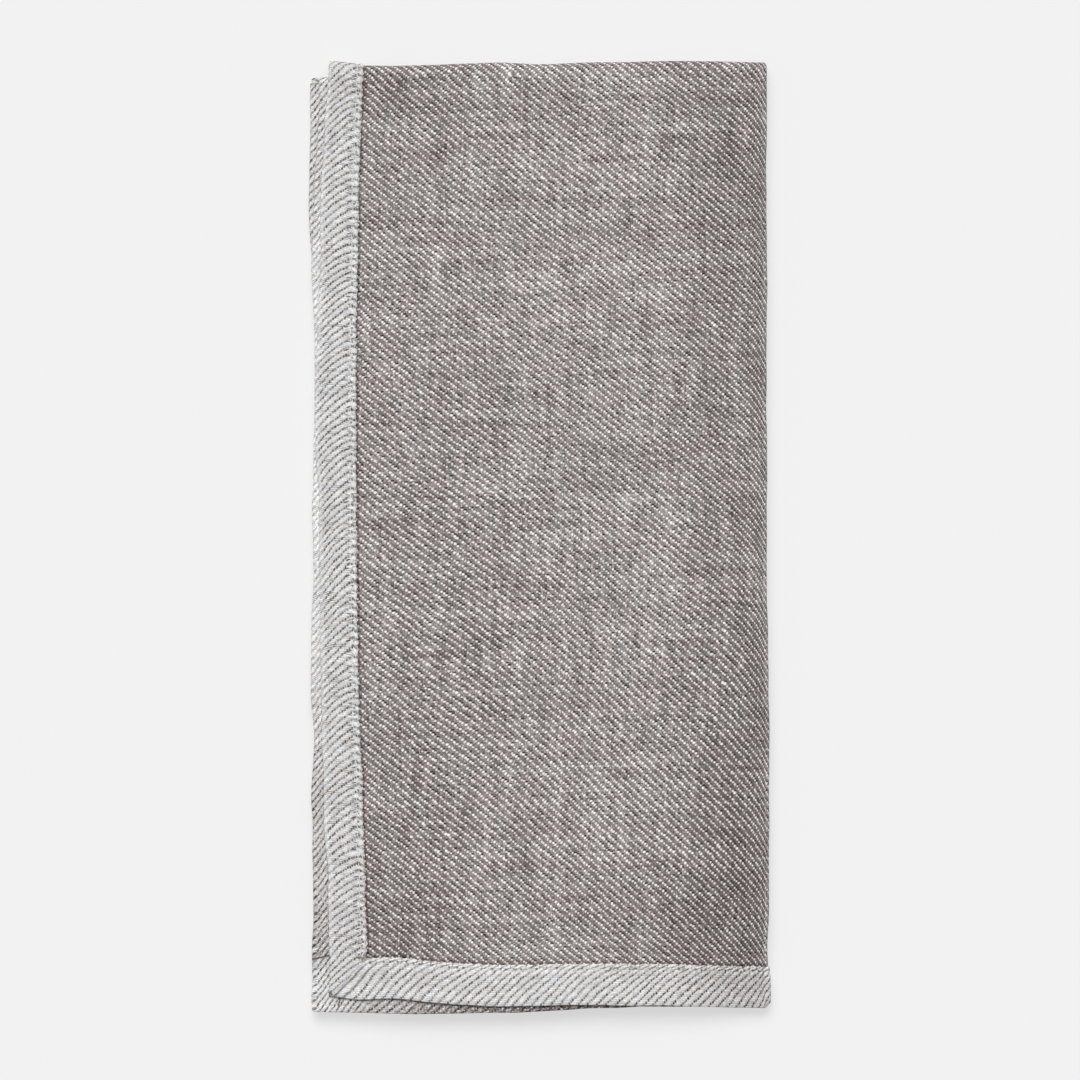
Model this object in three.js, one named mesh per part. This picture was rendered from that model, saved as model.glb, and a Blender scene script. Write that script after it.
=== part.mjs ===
// Kitchen towel: one piece of heavy twill cloth, hemmed all round, folded in
// thirds across its width and then in half at the top, lying flat on a table.
//
// Millimetres, +Z up. +X runs across the folded towel, from its hemmed side to
// its closed side. +Y runs along it, up to the top fold. The origin is on the
// table under the middle of the folded towel.
//
// The cloth is one closed sheet. Its stations across (columns) and along (rows)
// are carried through both folds, so every layer is joined to the next one.

import * as THREE from 'three';

const { lerp, smoothstep, degToRad } = THREE.MathUtils;

// The cloth itself
const THICKNESS = 1.0;
const END_HEM = 15.3;
const INNER_SIDE_HEM = 13.6;
const HEM_RISE = 0.6; // how far a hem stands proud of the face of the cloth
const HEM_STEP = 0.5; // width of the small step down from a hem to the cloth

// The folded towel
const HALF_WIDTH = 85;
const HALF_LENGTH = 177;
const AIR = 0.45; // between one layer of cloth and the next
const INNER_EDGE = 77; // where the inner panel's hemmed side lies, inside the stack
const LOOSE_DROP = 4.0; // how far the inner layers hang back from the top fold at the open side
const HIDDEN_SHORTFALL = 1.6; // how far the back half's ends stop short of the front half's

// How far the layers above take to settle back down from a hem
const END_SETTLE = 60;
const SIDE_SETTLE = 36;

// How finely the sheet is divided
const PANEL_STEPS = 6;
const FOLD_STEPS = 4;
const TOP_FOLD_STEPS = 8;
const LENGTH_SHARES = [0.04, 0.08, 0.12, 0.16, 0.2, 0.27, 0.34, 0.42, 0.5, 0.58, 0.66, 0.74, 0.82, 0.9, 0.96];

const PITCH = THICKNESS + AIR;
const QUARTER_TURN = Math.PI / 2;

// The sides of the folded towel. A row gives, at a distance down from the top
// fold, how far each edge lies inside the nominal side line: the hemmed side of
// the face panel, the pale fold under it (front and back half), and the closed
// side on the right. hemWidth is the width of the face panel's side hem there.
const SIDE_LINES = [
  { down: 0, hem: 6.8, hemWidth: 12.6, frontFold: 2.6, backFold: 1.0, right: 0.6 },
  { down: 22, hem: 5.3, hemWidth: 13.1, frontFold: 2.2, backFold: -0.2, right: 0.5 },
  { down: 50, hem: 3.7, hemWidth: 13.5, frontFold: 0.9, backFold: -1.0, right: 0.8 },
  { down: 77, hem: 3.5, hemWidth: 13.6, frontFold: 0.0, backFold: 0.5, right: 0.5 },
  { down: 101, hem: 2.3, hemWidth: 14.2, frontFold: 0.8, backFold: 1.4, right: 0.6 },
  { down: 125, hem: 1.4, hemWidth: 15.0, frontFold: 0.8, backFold: 1.6, right: 0.6 },
  { down: 144, hem: 1.5, hemWidth: 14.9, frontFold: 0.5, backFold: 1.4, right: 0.5 },
  { down: 166, hem: 3.0, hemWidth: 13.8, frontFold: 0.3, backFold: 1.2, right: 0.5 },
  { down: 214, hem: 3.4, hemWidth: 13.6, frontFold: -0.2, backFold: 0.8, right: 0.1 },
  { down: 252, hem: 4.2, hemWidth: 13.8, frontFold: 0.8, backFold: 1.5, right: -0.3 },
  { down: 285, hem: 4.8, hemWidth: 13.9, frontFold: 0.3, backFold: 1.2, right: -0.3 },
  { down: 311, hem: 6.5, hemWidth: 13.4, frontFold: 0.6, backFold: 1.4, right: -0.2 },
  { down: 334, hem: 6.8, hemWidth: 13.8, frontFold: 0.4, backFold: 1.3, right: 0.5 },
  { down: 350, hem: 6.8, hemWidth: 14.0, frontFold: -0.2, backFold: 1.2, right: 0.1 },
];

// The two ends. A row gives, at a place across the towel, how far the top fold
// dips, and how far the face panel and the panels under it stop short of the
// nominal end line.
const END_LINES = [
  { across: -80, topDip: 0.0, faceShort: 6.9, underShort: 0.8 },
  { across: -66, topDip: 1.2, faceShort: 5.4, underShort: 0.5 },
  { across: -56, topDip: 1.3, faceShort: 5.7, underShort: 0.1 },
  { across: -38, topDip: 1.0, faceShort: 4.0, underShort: 0.1 },
  { across: -15, topDip: 0.5, faceShort: 2.5, underShort: 0.6 },
  { across: 0, topDip: 0.9, faceShort: 3.1, underShort: 1.0 },
  { across: 22, topDip: 0.3, faceShort: 3.3, underShort: 2.3 },
  { across: 45, topDip: 0.1, faceShort: 3.2, underShort: 2.9 },
  { across: 63, topDip: 0.1, faceShort: 2.6, underShort: 2.8 },
  { across: 84, topDip: 0.6, faceShort: 2.6, underShort: 2.6 },
];

// Reads one column of a table at a place between its rows.
function readTable(table, key, at, column) {
  const next = table.findIndex((row) => row[key] >= at);
  if (next === 0) return table[0][column];
  if (next < 0) return table[table.length - 1][column];
  const low = table[next - 1];
  const high = table[next];
  return lerp(low[column], high[column], smoothstep(at, low[key], high[key]));
}

const sideLine = (down, column) => readTable(SIDE_LINES, 'down', down, column);
const endLine = (across, column) => readTable(END_LINES, 'across', across, column);

// How the stack of layers stands at a place. heights are the middles of the
// inner, middle and outer layer of each half, counted out from the plane
// between the halves, and middle is that plane's own height over the table.
// The hems push the layers apart near them, and the layers settle down again
// further in.
function stackAt(x, y) {
  const hemTop = -HALF_LENGTH + 7 + END_HEM;
  const hemInside = -HALF_WIDTH + 21;
  const innerHemStart = INNER_EDGE - INNER_SIDE_HEM;
  const end = 1 - smoothstep(y, hemTop, hemTop + END_SETTLE);
  const left = 1 - smoothstep(x, hemInside, hemInside + SIDE_SETTLE);
  const right = smoothstep(x, innerHemStart - SIDE_SETTLE, innerHemStart - HEM_STEP);
  const either = (a, b) => 1 - (1 - a) * (1 - b);
  const opened = HEM_RISE * (end + either(end, right));
  return {
    heights: [0.5 * PITCH, 1.5 * PITCH + opened, 2.5 * PITCH + opened],
    middle: 2.5 * PITCH + THICKNESS / 2 + opened + HEM_RISE * either(end, left),
  };
}

// Stations across the cloth. A panel station has a layer (2 outer, 1 middle,
// 0 inner) and a place; a fold station has the angle through which the cloth
// has turned, from +90 degrees on the outer layer to -90 on the inner one.
function panelStations(layer, from, to) {
  const stations = [];
  for (let step = 1; step < PANEL_STEPS; step += 1) {
    const share = step / PANEL_STEPS;
    stations.push({ layer, hem: 0, place: (edges) => lerp(from(edges), to(edges), share) });
  }
  return stations;
}

function foldStations(outerLayer, side, place) {
  const stations = [];
  for (let step = 0; step <= FOLD_STEPS; step += 1) {
    const angle = QUARTER_TURN - (Math.PI * step) / FOLD_STEPS;
    stations.push({ layer: outerLayer, hem: 0, place, side, angle });
  }
  return stations;
}

function hemStations(layer, edge, inside) {
  const step = (edges) => inside(edges) + Math.sign(edge(edges) - inside(edges)) * HEM_STEP;
  return [
    { layer, hem: 1, place: edge },
    { layer, hem: 1, place: step },
    { layer, hem: 0, place: inside },
  ];
}

const hemInside = (edges) => edges.hem + edges.hemWidth;
const innerEdge = () => INNER_EDGE;
const innerHemInside = () => INNER_EDGE - INNER_SIDE_HEM;
const rightTurn = (edges) => edges.right;
const leftTurn = (edges) => edges.fold;

const COLUMNS = [
  ...hemStations(2, (edges) => edges.hem, hemInside),
  ...panelStations(2, hemInside, rightTurn),
  ...foldStations(2, 1, rightTurn),
  ...panelStations(1, rightTurn, leftTurn),
  ...foldStations(1, -1, leftTurn),
  ...panelStations(0, leftTurn, innerHemInside),
  ...hemStations(0, innerEdge, innerHemInside).reverse(),
];

// Stations along the cloth, from the front half's end, up over the top fold
// and down to the back half's end. turn is +90 degrees on the front half and
// -90 on the back one; share runs from the end hem to the top fold.
function halfStations(turn) {
  return [
    { turn, hem: 1, fromEnd: 0 },
    { turn, hem: 1, fromEnd: END_HEM - HEM_STEP },
    { turn, hem: 0, fromEnd: END_HEM },
    ...LENGTH_SHARES.map((share) => ({ turn, hem: 0, share })),
  ];
}

function topFoldStations() {
  const stations = [];
  for (let step = 0; step <= TOP_FOLD_STEPS; step += 1) {
    stations.push({ turn: QUARTER_TURN - (Math.PI * step) / TOP_FOLD_STEPS, hem: 0, share: 1 });
  }
  return stations;
}

const ROWS = [
  ...halfStations(QUARTER_TURN),
  ...topFoldStations(),
  ...halfStations(-QUARTER_TURN).reverse(),
];

// Where the sides run at one row: the hemmed side, and the middle of each
// fold's turn.
function edgesAt(row) {
  const topCentre = HALF_LENGTH - 2.5 * PITCH - THICKNESS / 2;
  const hemEnd = -HALF_LENGTH + END_HEM;
  const y = row.share === undefined ? row.fromEnd - HALF_LENGTH : lerp(hemEnd, topCentre, row.share);
  const down = HALF_LENGTH - y;
  const front = (1 + Math.sin(row.turn)) / 2;
  const foldInset = lerp(sideLine(down, 'backFold'), sideLine(down, 'frontFold'), front);
  const foldEdge = -HALF_WIDTH + foldInset;
  const { heights } = stackAt(foldEdge, y);
  const leftRadius = (heights[1] - heights[0]) / 2;
  return {
    hem: -HALF_WIDTH + lerp(4.6, sideLine(down, 'hem'), front),
    hemWidth: sideLine(down, 'hemWidth'),
    fold: foldEdge + leftRadius + THICKNESS / 2,
    right: HALF_WIDTH - sideLine(down, 'right') - (1 - front) * 0.6 - PITCH / 2 - THICKNESS / 2,
  };
}

// How far a point has gone from the face panel's layer to the ones under it.
function underShare(column) {
  if (column.layer < 2) return 1;
  return column.angle === undefined ? 0 : (1 - Math.sin(column.angle)) / 2;
}

// The place along the towel where a column crosses a row, before the top fold
// is added: on that fold it is the middle of the turn.
function placeAlong(column, row, x) {
  const under = underShare(column);
  const openSide = smoothstep(-x, -HALF_WIDTH, HALF_WIDTH);
  const turnCentre = HALF_LENGTH - endLine(x, 'topDip') - 2.5 * PITCH - THICKNESS / 2;
  const top = turnCentre - under * openSide * LOOSE_DROP;
  const short = lerp(endLine(x, 'faceShort'), endLine(x, 'underShort'), under);
  const shortfall = row.turn < 0 ? short + HIDDEN_SHORTFALL : short;
  const end = -HALF_LENGTH + shortfall;
  return row.share === undefined ? end + row.fromEnd : lerp(end + END_HEM, top, row.share);
}

// One point of the sheet. offset is its distance from the middle of the
// cloth's thickness, towards the face.
function placePoint(column, row, offset) {
  const edges = edgesAt(row);
  const anchor = column.place(edges);
  const y = placeAlong(column, row, anchor);
  const { heights, middle } = stackAt(anchor, y);
  let x = anchor;
  let height = heights[column.layer];
  let facing = column.layer === 1 ? -1 : 1;
  if (column.angle !== undefined) {
    const upper = heights[column.layer];
    const lower = heights[column.layer - 1];
    const radius = (upper - lower) / 2 + column.side * offset;
    x = anchor + column.side * radius * Math.cos(column.angle);
    height = (upper + lower) / 2 + radius * Math.sin(column.angle);
    facing = 0;
  }
  const reach = height + facing * offset;
  return new THREE.Vector3(
    x,
    y + reach * Math.cos(row.turn),
    middle + reach * Math.sin(row.turn),
  );
}

function buildTowel() {
  const across = COLUMNS.length - 1;
  const along = ROWS.length - 1;
  const geometry = new THREE.BoxGeometry(across, along, 1, across, along, 1);
  const position = geometry.attributes.position;
  for (let index = 0; index < position.count; index += 1) {
    const column = COLUMNS[Math.round(position.getX(index) + across / 2)];
    const row = ROWS[Math.round(position.getY(index) + along / 2)];
    const onFace = position.getZ(index) > 0;
    const hem = Math.max(column.hem, row.hem);
    const offset = onFace ? THICKNESS / 2 + HEM_RISE * hem : -THICKNESS / 2;
    const point = placePoint(column, row, offset);
    position.setXYZ(index, point.x, point.y, point.z);
  }
  geometry.computeBoundingBox();
  const centre = geometry.boundingBox.getCenter(new THREE.Vector3());
  geometry.translate(-centre.x, -centre.y, -geometry.boundingBox.min.z);
  geometry.computeVertexNormals();
  const cloth = new THREE.MeshStandardMaterial({ color: 0x8d8783, roughness: 0.95, metalness: 0 });
  const towel = new THREE.Mesh(geometry, cloth);
  towel.name = 'towel';
  return towel;
}

const model = new THREE.Group();
model.add(buildTowel());

export default model;
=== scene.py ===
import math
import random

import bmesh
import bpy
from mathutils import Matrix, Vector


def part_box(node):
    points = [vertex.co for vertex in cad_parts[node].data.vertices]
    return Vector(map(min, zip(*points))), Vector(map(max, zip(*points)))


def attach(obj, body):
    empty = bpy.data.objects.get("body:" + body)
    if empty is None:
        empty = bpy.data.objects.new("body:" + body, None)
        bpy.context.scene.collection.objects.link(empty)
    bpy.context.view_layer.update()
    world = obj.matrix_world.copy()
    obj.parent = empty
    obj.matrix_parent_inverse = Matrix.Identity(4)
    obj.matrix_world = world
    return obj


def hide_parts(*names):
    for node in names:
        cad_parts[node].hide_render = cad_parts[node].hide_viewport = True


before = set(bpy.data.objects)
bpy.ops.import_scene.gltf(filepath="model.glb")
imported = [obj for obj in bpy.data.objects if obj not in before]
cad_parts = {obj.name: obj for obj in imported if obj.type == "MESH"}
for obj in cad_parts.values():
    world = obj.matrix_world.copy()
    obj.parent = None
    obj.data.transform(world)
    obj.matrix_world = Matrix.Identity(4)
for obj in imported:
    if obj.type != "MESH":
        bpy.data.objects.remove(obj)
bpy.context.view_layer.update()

# Kitchen towel: one piece of heavy twill, dark on its face and pale on its
# reverse, hemmed all round with mitred corners, folded in thirds across its
# width and in half at the top.
#
# The cloth is one closed sheet on the folds of its solid. Its stations across
# (columns) and along (rows) run through both folds. Lengths are millimetres
# until they go into a mesh, where they become metres. Of the tables given
# here, x runs across the towel and y along it, from its middle.

MM = 0.001

# ------------------------------------------------------------------ the cloth

# One layer, the widths of the end hems and of the side hem inside the stack,
# and by how much a hem is thicker than a layer
THICKNESS = 1.0
END_HEM = 15.3
INNER_SIDE_HEM = 13.6
HEM_RISE = 0.6

# The weave: distance between neighbouring warp ends and between picks
END_PITCH = 0.884
PICK_PITCH = 0.743

# ----------------------------------------------------------- the folded towel

# Its nominal outline, the air between two layers, and the step from one layer
# to the next
HALF_WIDTH = 85.0
HALF_LENGTH = 177.0
AIR = 0.45
PITCH = THICKNESS + AIR

# The outer layer's surface, counted out from the plane between the halves
TURN_REACH = 2.5 * PITCH + THICKNESS / 2

# Where the inner layer's side hem ends, how far the loose fold on the left
# drops below the top, and how much shorter and narrower the back half is
INNER_EDGE = 77.0
LOOSE_DROP = 4.0
HIDDEN_SHORTFALL = 1.6
BACK_TUCK = 0.6

# How far into the stack its hems reach, from the lower end and from the left
END_HEM_REACH = 7.0 + END_HEM
SIDE_HEM_REACH = 21.0

# How far the layers above take to settle back down from a hem
END_SETTLE = 60.0
SIDE_SETTLE = 36.0

# A corner of the outline is rounded: from where to where across, how far that
# reaches along, and how far it draws the cloth in at the top and at the end
CORNER_SPAN = (HALF_WIDTH - 2.0, HALF_WIDTH + 0.6)
CORNER_REACH = 8.0
TOP_CORNER_DRAW = 0.9
END_CORNER_DRAW = 1.5

# Lengths along the cloth: one half from its hem to the top fold, and the fold
# itself on its outer layer
PANEL_RUN = 331.0
TOP_RUN = math.pi * TURN_REACH
CLOTH_LENGTH = 2 * (END_HEM + PANEL_RUN) + TOP_RUN

# The sides of the folded towel. A row gives, at a distance down from the top
# fold, how far each edge lies inside the nominal side line: the face panel's
# hem (front and back half), the pale fold under it (front and back half), and
# the closed side on the right. width is the face panel's side hem there.
SIDE_COLUMNS = ("down", "hem", "back_hem", "width", "fold", "back_fold", "right")
SIDE_LINES = [
    (0, 6.8, 7.0, 12.8, 2.9, -0.4, 0.2),
    (10, 6.2, 6.6, 12.8, 2.9, -0.6, 0.5),
    (22, 5.3, 5.8, 13.1, 2.4, -0.4, 0.4),
    (50, 3.7, 4.8, 13.9, 0.9, -1.0, 0.6),
    (77, 3.5, 4.6, 13.7, 0.1, 0.5, 0.3),
    (101, 2.3, 4.6, 14.4, 1.4, 1.8, 0.4),
    (125, 1.4, 4.6, 15.3, 1.4, 2.0, 0.6),
    (144, 1.5, 4.6, 15.2, 0.8, 1.6, 0.3),
    (166, 3.0, 4.6, 13.8, 0.5, 1.2, 0.3),
    (190, 3.2, 4.6, 13.7, 0.8, 1.5, 0.5),
    (214, 3.4, 4.6, 13.8, 0.0, 0.9, 0.0),
    (232, 3.7, 4.6, 13.8, -0.1, 1.0, -0.3),
    (252, 4.2, 4.6, 13.8, 1.0, 1.6, -0.5),
    (273, 4.6, 4.6, 14.5, 0.1, 1.0, -0.5),
    (285, 4.8, 4.6, 14.4, 0.5, 1.2, -0.5),
    (311, 6.5, 4.6, 13.6, 0.8, 1.4, -0.4),
    (332, 6.8, 4.6, 13.8, 0.4, 1.2, 0.1),
    (343, 6.8, 4.6, 14.0, 0.5, 1.0, -0.4),
    (350, 6.8, 4.6, 14.0, 0.1, 0.8, -0.5),
]

# The two ends. A row gives, at a place across the towel, how far the top fold
# dips, and how far the face panel and the panels under it stop short.
END_COLUMNS = ("across", "dip", "face", "under")
END_LINES = [
    (-80, -0.4, 6.9, 0.8),
    (-66, 0.8, 5.4, 0.5),
    (-56, 1.0, 5.9, 0.1),
    (-38, 0.6, 4.4, 0.1),
    (-28, 0.1, 3.6, 0.3),
    (-15, -0.3, 2.9, 0.6),
    (0, 0.4, 3.3, 1.0),
    (22, -0.4, 3.5, 2.3),
    (45, -0.5, 3.3, 2.9),
    (63, -0.1, 2.7, 2.8),
    (84, 0.3, 2.1, 2.6),
]

# A hem in section, outwards in. A row's place is counted from the hem's outer
# edge or from its inner one, inwards over the cloth; top and under are the
# heights of its two surfaces over the middle of a single layer. The stitch
# line lies in the little valley.
HEM_PROFILE = [
    {"line": "edge", "in": 0.0, "top": 0.52, "under": 0.08},
    {"line": "edge", "in": 0.2, "top": 0.84, "under": -0.24},
    {"line": "edge", "in": 0.6, "top": 1.03, "under": -0.43},
    {"line": "edge", "in": 1.3, "top": 1.12, "under": -0.50},
    {"line": "edge", "in": 2.6, "top": 1.17, "under": -0.50},
    {"line": "edge", "in": 4.4, "top": 1.19, "under": -0.50},
    {"line": "edge", "in": 6.4, "top": 1.19, "under": -0.50},
    {"line": "inside", "in": -5.2, "top": 1.18, "under": -0.50},
    {"line": "inside", "in": -3.6, "top": 1.12, "under": -0.50},
    {"line": "inside", "in": -2.7, "top": 0.99, "under": -0.46},
    {"line": "inside", "in": -2.1, "top": 0.74, "under": -0.38},
    {"line": "inside", "in": -1.5, "top": 0.94, "under": -0.45},
    {"line": "inside", "in": -0.9, "top": 1.06, "under": -0.50},
    {"line": "inside", "in": -0.35, "top": 1.00, "under": -0.50},
    {"line": "inside", "in": -0.08, "top": 0.80, "under": -0.50},
    {"line": "inside", "in": 0.0, "top": 0.40, "under": -0.50},
    {"line": "inside", "in": 0.5, "top": 0.38, "under": -0.50},
    {"line": "inside", "in": 1.4, "top": 0.45, "under": -0.50},
    {"line": "inside", "in": 3.0, "top": 0.50, "under": -0.50},
]

# The stations of the hem's inner edge and of the stitch line, the number that
# stands for cloth away from any hem, and how far in the last station lies
HEM_FOOT = 15
STITCH_LINE = 10
FIELD = len(HEM_PROFILE)
HEM_BEYOND = HEM_PROFILE[-1]["in"]

# How finely the sheet is divided: across the face panel, with extra columns
# where it rolls over, the two panels under it and each fold; and along the two
# halves and the top fold
FACE_STEPS = 24
ROLL_SHARES = (0.94, 0.972, 0.982, 0.989, 0.995)
MIDDLE_STEPS = 18
INNER_STEPS = 14
FOLD_STEPS = 8
FRONT_STEPS = 110
BACK_STEPS = 44
TOP_FOLD_STEPS = 12


def lerp(low, high, share):
    """The value at a share of the way from low to high."""
    return low + (high - low) * share


def evenly(value, low, high):
    """How far a value has gone from low to high."""
    return (value - low) / (high - low)


def smoothstep(value, low, high):
    """How far a value has gone from low to high, starting and stopping gently."""
    share = min(max((value - low) / (high - low), 0.0), 1.0)
    return share * share * (3 - 2 * share)


def bell(at, middle, reach):
    """Is 1 at a middle and dies away past a reach to either side of it."""
    return math.exp(-(((at - middle) / reach) ** 2))


def near(place, x, y):
    """Is 1 at the middle of a table's place and dies away past its reach."""
    away = ((x - place["x"]) / place["across"]) ** 2 + ((y - place["y"]) / place["along"]) ** 2
    return math.exp(-away)


def read_table(table, names, at, column, pace=smoothstep):
    """Reads one named column of a table at a place between its rows, whose
    first column is that place."""
    slot = names.index(column)
    if at <= table[0][0]:
        return table[0][slot]
    for low, high in zip(table, table[1:]):
        if at <= high[0]:
            return lerp(low[slot], high[slot], pace(at, low[0], high[0]))
    return table[-1][slot]


def side_line(down, column):
    """How far an edge lies inside the side line, so far down from the top."""
    return read_table(SIDE_LINES, SIDE_COLUMNS, down, column)


def end_line(across, column):
    """How far an edge stops short at the top or the lower end."""
    return read_table(END_LINES, END_COLUMNS, across, column)


def waver(at, seed, size):
    """A small uneven wander along an edge."""
    wide = 0.5 * math.sin(at / 9.7 - seed)
    return size * (math.sin(at / 5.3 + seed) + 0.7 * math.sin(at / 2.9 + 2.3 * seed) + wide)


# ------------------------------------------------------------------ the stack


def stack_at(x, y):
    """Heights of the inner, middle and outer layer of a half, counted out from
    the plane between the halves, and the height of that plane itself."""
    hem_top = -HALF_LENGTH + END_HEM_REACH
    hem_inside = -HALF_WIDTH + SIDE_HEM_REACH
    inner_start = INNER_EDGE - INNER_SIDE_HEM
    end = 1 - smoothstep(y, hem_top, hem_top + END_SETTLE)
    left = 1 - smoothstep(x, hem_inside, hem_inside + SIDE_SETTLE)
    right = smoothstep(x, inner_start - SIDE_SETTLE, inner_start - 0.5)
    end_or_right = 1 - (1 - end) * (1 - right)
    end_or_left = 1 - (1 - end) * (1 - left)
    opened = HEM_RISE * (end + end_or_right)
    heights = (0.5 * PITCH, 1.5 * PITCH + opened, 2.5 * PITCH + opened)
    return heights, TURN_REACH + opened + HEM_RISE * end_or_left


# ---------------------------------------------------------------- the stations


def row_at(v, hem=FIELD):
    """The row at a distance v along the cloth, from the front half's end, up
    over the top fold and down to the back half's end."""
    past = CLOTH_LENGTH - v
    reach = min(v, past)
    row = {"v": v, "hem": hem, "turn": -math.pi / 2 if v > past else math.pi / 2}
    if reach < END_HEM + HEM_BEYOND + 0.1:
        row["from_end"] = reach
    else:
        row["share"] = min((reach - END_HEM) / PANEL_RUN, 1.0)
    fold = v - END_HEM - PANEL_RUN
    if 0 <= fold <= TOP_RUN:
        row["turn"] = math.pi / 2 - math.pi * fold / TOP_RUN
    return row


def panel_stations(first, last, steps):
    """Places along a half between its hem and the top fold."""
    return [(lerp(first, last, step / steps), FIELD) for step in range(1, steps)]


def all_rows():
    """Every row, from the front half's end to the back half's."""
    hems = []
    for index, station in enumerate(HEM_PROFILE):
        start = 0.0 if station["line"] == "edge" else END_HEM
        hems.append((start + station["in"], index))
    first = hems[-1][0]
    last = END_HEM + PANEL_RUN
    rows = [row_at(v, hem) for v, hem in hems + panel_stations(first, last, FRONT_STEPS)]
    for step in range(TOP_FOLD_STEPS + 1):
        rows.append(row_at(last + TOP_RUN * step / TOP_FOLD_STEPS))
    back = hems + panel_stations(first, last, BACK_STEPS)
    return rows + [row_at(CLOTH_LENGTH - v, hem) for v, hem in reversed(back)]


def column_at(layer, start, stop, share=0.0, extra=0.0, hem=FIELD):
    """A column of a layer (2 is the face panel's), at a share of the way from
    one named edge to another, and so much further."""
    return {"layer": layer, "hem": hem, "from": start, "to": stop, "share": share, "extra": extra}


def panel_columns(layer, start, start_extra, stop, stop_extra, shares):
    """The columns of a panel between its hem or fold and the next."""
    columns = []
    for share in shares:
        extra = lerp(start_extra, stop_extra, share)
        columns.append(column_at(layer, start, stop, share, extra))
    return columns


def even_shares(steps):
    return [step / steps for step in range(1, steps)]


def fold_columns(layer, side, line):
    """Half a turn round a fold. side is 1 on the right and -1 on the left."""
    columns = []
    for step in range(FOLD_STEPS + 1):
        angle = math.pi / 2 - math.pi * step / FOLD_STEPS
        columns.append({**column_at(layer, line, line), "side": side, "angle": angle})
    return columns


def hem_columns(layer, edge, inside, inwards):
    """The columns of a side hem. inwards is 1 on the left and -1 on the right."""
    columns = []
    for index, station in enumerate(HEM_PROFILE):
        line = edge if station["line"] == "edge" else inside
        columns.append(column_at(layer, line, line, extra=inwards * station["in"], hem=index))
    return columns


def all_columns():
    """Every column, from the face panel's hem round both folds to the hem that
    lies inside the stack."""
    face_shares = sorted(even_shares(FACE_STEPS) + list(ROLL_SHARES))
    return (
        hem_columns(2, "hem", "hem_inside", 1)
        + panel_columns(2, "hem_inside", HEM_BEYOND, "right", 0, face_shares)
        + fold_columns(2, 1, "right")
        + panel_columns(1, "right", 0, "left", 0, even_shares(MIDDLE_STEPS))
        + fold_columns(1, -1, "left")
        + panel_columns(0, "left", 0, "inner_inside", -HEM_BEYOND, even_shares(INNER_STEPS))
        + hem_columns(0, "inner", "inner_inside", -1)[::-1]
    )


def edges_at(row):
    """Where the sides run at one row: hems, and the middle of each fold's turn."""
    if "share" in row:
        y = lerp(-HALF_LENGTH + END_HEM, HALF_LENGTH - TURN_REACH, row["share"])
    else:
        y = row["from_end"] - HALF_LENGTH
    front = min(max(1 + 2 * math.sin(row["turn"]), 0.0), 1.0)
    line = {name: side_line(HALF_LENGTH - y, name) for name in SIDE_COLUMNS[1:]}
    fold_edge = -HALF_WIDTH + lerp(line["back_fold"], line["fold"], front) + waver(y, 2.0 + front, 0.10)
    heights, _ = stack_at(fold_edge, y)
    left_radius = (heights[1] - heights[0]) / 2
    right_radius = PITCH / 2
    hem = -HALF_WIDTH + lerp(line["back_hem"], line["hem"], front) + waver(y, 1.0, 0.09)
    right = HALF_WIDTH - line["right"] - (1 - front) * BACK_TUCK - right_radius - THICKNESS / 2
    return {
        "hem": hem,
        "hem_inside": hem + line["width"] + waver(y, 4.4, 0.10),
        "left": fold_edge + left_radius + THICKNESS / 2,
        "right": right + waver(y, 3.1, 0.08),
        "inner": INNER_EDGE,
        "inner_inside": INNER_EDGE - INNER_SIDE_HEM,
    }


def under_share(column):
    """How far a point has gone from the face panel's layer to the ones under it."""
    if column["layer"] < 2:
        return 1.0
    if "angle" not in column:
        return 0.0
    return (1 - math.sin(column["angle"])) / 2


def place_along(column, row, x):
    """The place along the towel where a column crosses a row; on the top fold,
    the middle of the turn."""
    under = under_share(column)
    open_side = smoothstep(-x, -HALF_WIDTH, HALF_WIDTH)
    corner = smoothstep(abs(x), *CORNER_SPAN) ** 3
    top = HALF_LENGTH - end_line(x, "dip") - TURN_REACH - under * open_side * LOOSE_DROP
    face = end_line(x, "face") + waver(x, 5.0, 0.09)
    below = end_line(x, "under") + waver(x, 0.4, 0.09)
    end = -HALF_LENGTH + lerp(face, below, under)
    if row["turn"] < 0:
        end += HIDDEN_SHORTFALL
    if "share" in row:
        near_top = smoothstep(row["share"], 1 - CORNER_REACH / PANEL_RUN, 1.0)
        return lerp(end + END_HEM, top, row["share"]) - near_top * corner * TOP_CORNER_DRAW
    near_end = 1 - smoothstep(row["from_end"], 0.0, CORNER_REACH)
    return end + row["from_end"] + near_end * corner * END_CORNER_DRAW


# The cloth lies a little unevenly. A row is a soft swell or hollow: its middle,
# its reach each way, and by what share it lifts the stack there.
SOFT_PLACES = [
    {"x": -30, "y": 95, "across": 34, "along": 40, "lift": 0.05},
    {"x": 22, "y": 128, "across": 26, "along": 22, "lift": -0.04},
    {"x": 30, "y": 60, "across": 30, "along": 45, "lift": 0.045},
    {"x": -48, "y": 18, "across": 22, "along": 38, "lift": -0.05},
    {"x": 44, "y": -18, "across": 26, "along": 40, "lift": 0.05},
    {"x": -8, "y": -44, "across": 30, "along": 26, "lift": -0.045},
    {"x": -44, "y": -78, "across": 24, "along": 26, "lift": -0.05},
    {"x": 22, "y": -100, "across": 34, "along": 30, "lift": 0.04},
    {"x": -30, "y": -122, "across": 26, "along": 16, "lift": 0.03},
]

# By what share the stack thins towards the closed side, how much more so at its
# lower end, and at its two lower corners
SIDE_THINNING = 0.10
LOW_SIDE_THINNING = 0.08
CORNER_THINNING = 0.26
LOW_CORNER = {"x": HALF_WIDTH, "y": -HALF_LENGTH, "across": 26, "along": 24}


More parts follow.
